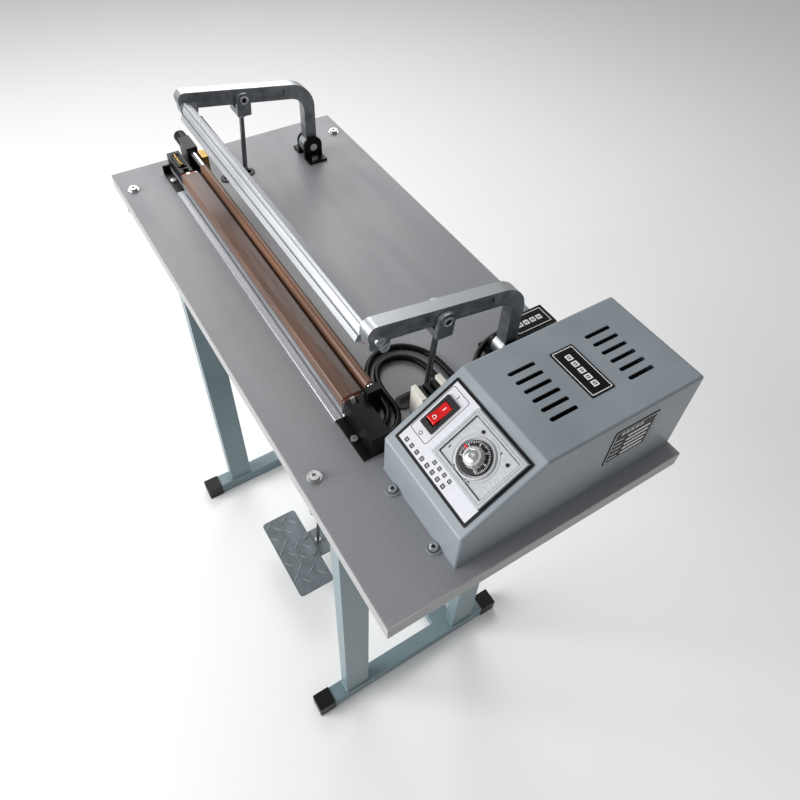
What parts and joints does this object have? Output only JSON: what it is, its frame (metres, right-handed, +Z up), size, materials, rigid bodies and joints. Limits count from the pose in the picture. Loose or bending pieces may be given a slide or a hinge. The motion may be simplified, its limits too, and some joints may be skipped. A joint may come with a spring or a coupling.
{
  "type": "impulse heat sealer",
  "caption": "Foot-operated impulse heat sealer on its own table stand, with a long sealing jaw, twin press arms, pedal linkage and timer box.",
  "frame": {"origin": "centre of the floor footprint, on the floor", "axes": "+X along the jaw towards the control box, +Y away from the operator, +Z up"},
  "size_m": [0.7, 0.357, 0.8451],
  "materials": {
    "grey_laminate": "satin",
    "pale_edge_band": "satin",
    "blue_grey_paint": "satin",
    "box_paint": "satin",
    "black_paint": "satin",
    "black_plastic": "matte",
    "tread_plate_paint": "satin",
    "zinc_steel": "satin",
    "chrome_steel": "polished",
    "black_steel": "satin",
    "spring_steel": "satin",
    "grey_casting": "satin",
    "anodised_aluminium": "satin",
    "nichrome": "satin",
    "silicone": "matte",
    "brown_cloth": "satin",
    "brass": "satin",
    "printed_panel": "satin",
    "red_plastic": "gloss",
    "timer_plastic": "satin",
    "clear_knob": "gloss",
    "core_steel": "matte",
    "copper_winding": "satin",
    "porcelain": "satin",
    "cable_rubber": "gloss"
  },
  "bodies": {
    "stand": {"table_top": "grey_laminate", "table_edge_band": "pale_edge_band", "leg_frames": "blue_grey_paint", "foot_rails": "blue_grey_paint", "cross_member": "blue_grey_paint", "foot_caps": "black_plastic", "pedal_hinge_pin": "zinc_steel", "arm_brackets": "black_paint", "pivot_pins": "chrome_steel", "pedal_return_spring": "spring_steel", "jaw_beam": "anodised_aluminium", "jaw_insulation": "silicone", "heating_ribbon": "nichrome", "ptfe_cloth": "brown_cloth", "cloth_clamp_strip": "anodised_aluminium", "jaw_end_bracket_left": "black_paint", "jaw_end_bracket_right": "black_paint", "roller_housing": "black_plastic", "brass_terminals": "brass", "ribbon_tension_spring": "spring_steel", "control_box_shell": "box_paint", "control_box_base": "box_paint", "control_panel_plate": "printed_panel", "rocker_bezel": "black_plastic", "timer_body": "timer_plastic", "transformer_core": "core_steel", "transformer_coil": "copper_winding", "power_relay": "clear_knob", "terminal_block": "black_plastic", "terminal_cheeks": "porcelain", "cable_glands": "black_plastic", "deck_fasteners": "zinc_steel", "label_plates": "printed_panel", "rod_slot_bezels": "black_plastic", "switch_housing": "black_plastic", "trigger_switch": "black_plastic", "jaw_lead_outer": "cable_rubber", "jaw_lead_inner": "cable_rubber", "switch_lead": "cable_rubber", "box_lead": "cable_rubber"},
    "press_arms": {"arm_left": "grey_casting", "arm_right": "grey_casting", "pressure_bar": "anodised_aluminium", "silicone_strip": "silicone", "bar_end_brackets": "zinc_steel", "bar_bolts": "chrome_steel", "clevis_pins": "black_steel"},
    "pull_frame": {"clevis_blocks": "grey_casting", "pull_rods": "black_steel", "pull_crossbar": "blue_grey_paint", "pedal_rod": "black_steel", "rod_nuts": "zinc_steel"},
    "pedal": {"pedal_plate": "tread_plate_paint", "pedal_lever": "tread_plate_paint", "pedal_bolts": "tread_plate_paint"},
    "rocker": {"power_rocker": "red_plastic"},
    "timer_dial": {"timer_knob": "clear_knob"},
    "cloth_roller_set": {"cloth_roller": "chrome_steel", "roller_knob": "black_plastic"},
    "trigger_button": {"trigger_plunger": "red_plastic"}
  },
  "joints": [
    {"name": "press_hinge", "type": "hinge", "parent": "stand", "child": "press_arms", "pos_m": [0, 0.091, 0.732], "axis": [1, 0, 0], "range_deg": [0, 22.5], "stiffness_Nm_per_rad": 6, "springref_deg": -57.3},
    {"name": "pull_hinge", "type": "hinge", "parent": "press_arms", "child": "pull_frame", "pos_m": [0, 0.0018, 0.8217], "axis": [1, 0, 0], "range_deg": [-20.6, 0.1]},
    {"name": "pedal_hinge", "type": "hinge", "parent": "stand", "child": "pedal", "pos_m": [-0.053, 0.112, 0.043], "axis": [1, 0, 0], "range_deg": [-0.1, 15.1], "deforming": ["pedal_return_spring"]},
    {"name": "rocker_hinge", "type": "hinge", "parent": "stand", "child": "rocker", "pos_m": [0.2424, -0.04487, 0.78917], "axis": [1, 0, 0], "range_deg": [0, 20]},
    {"name": "timer_turn", "type": "hinge", "parent": "stand", "child": "timer_dial", "pos_m": [0.2934, -0.04877, 0.79498], "axis": [0, 0.5582, -0.8297], "range_deg": [0, 290]},
    {"name": "cloth_roller_turn", "type": "hinge", "parent": "stand", "child": "cloth_roller_set", "pos_m": [-0.07, -0.0615, 0.745], "axis": [1, 0, 0], "continuous": true},
    {"name": "trigger_slide", "type": "slide", "parent": "stand", "child": "trigger_button", "axis": [0, 0, -1], "range_m": [0, 0.003]}
  ],
  "couplings": [
    {"joint": "pull_hinge", "follows": "press_hinge", "ratio": -0.9085},
    {"joint": "pedal_hinge", "follows": "press_hinge", "ratio": 0.6647},
    {"joint": "trigger_slide", "follows": "press_hinge", "m_per_rad": 0.0076}
  ]
}
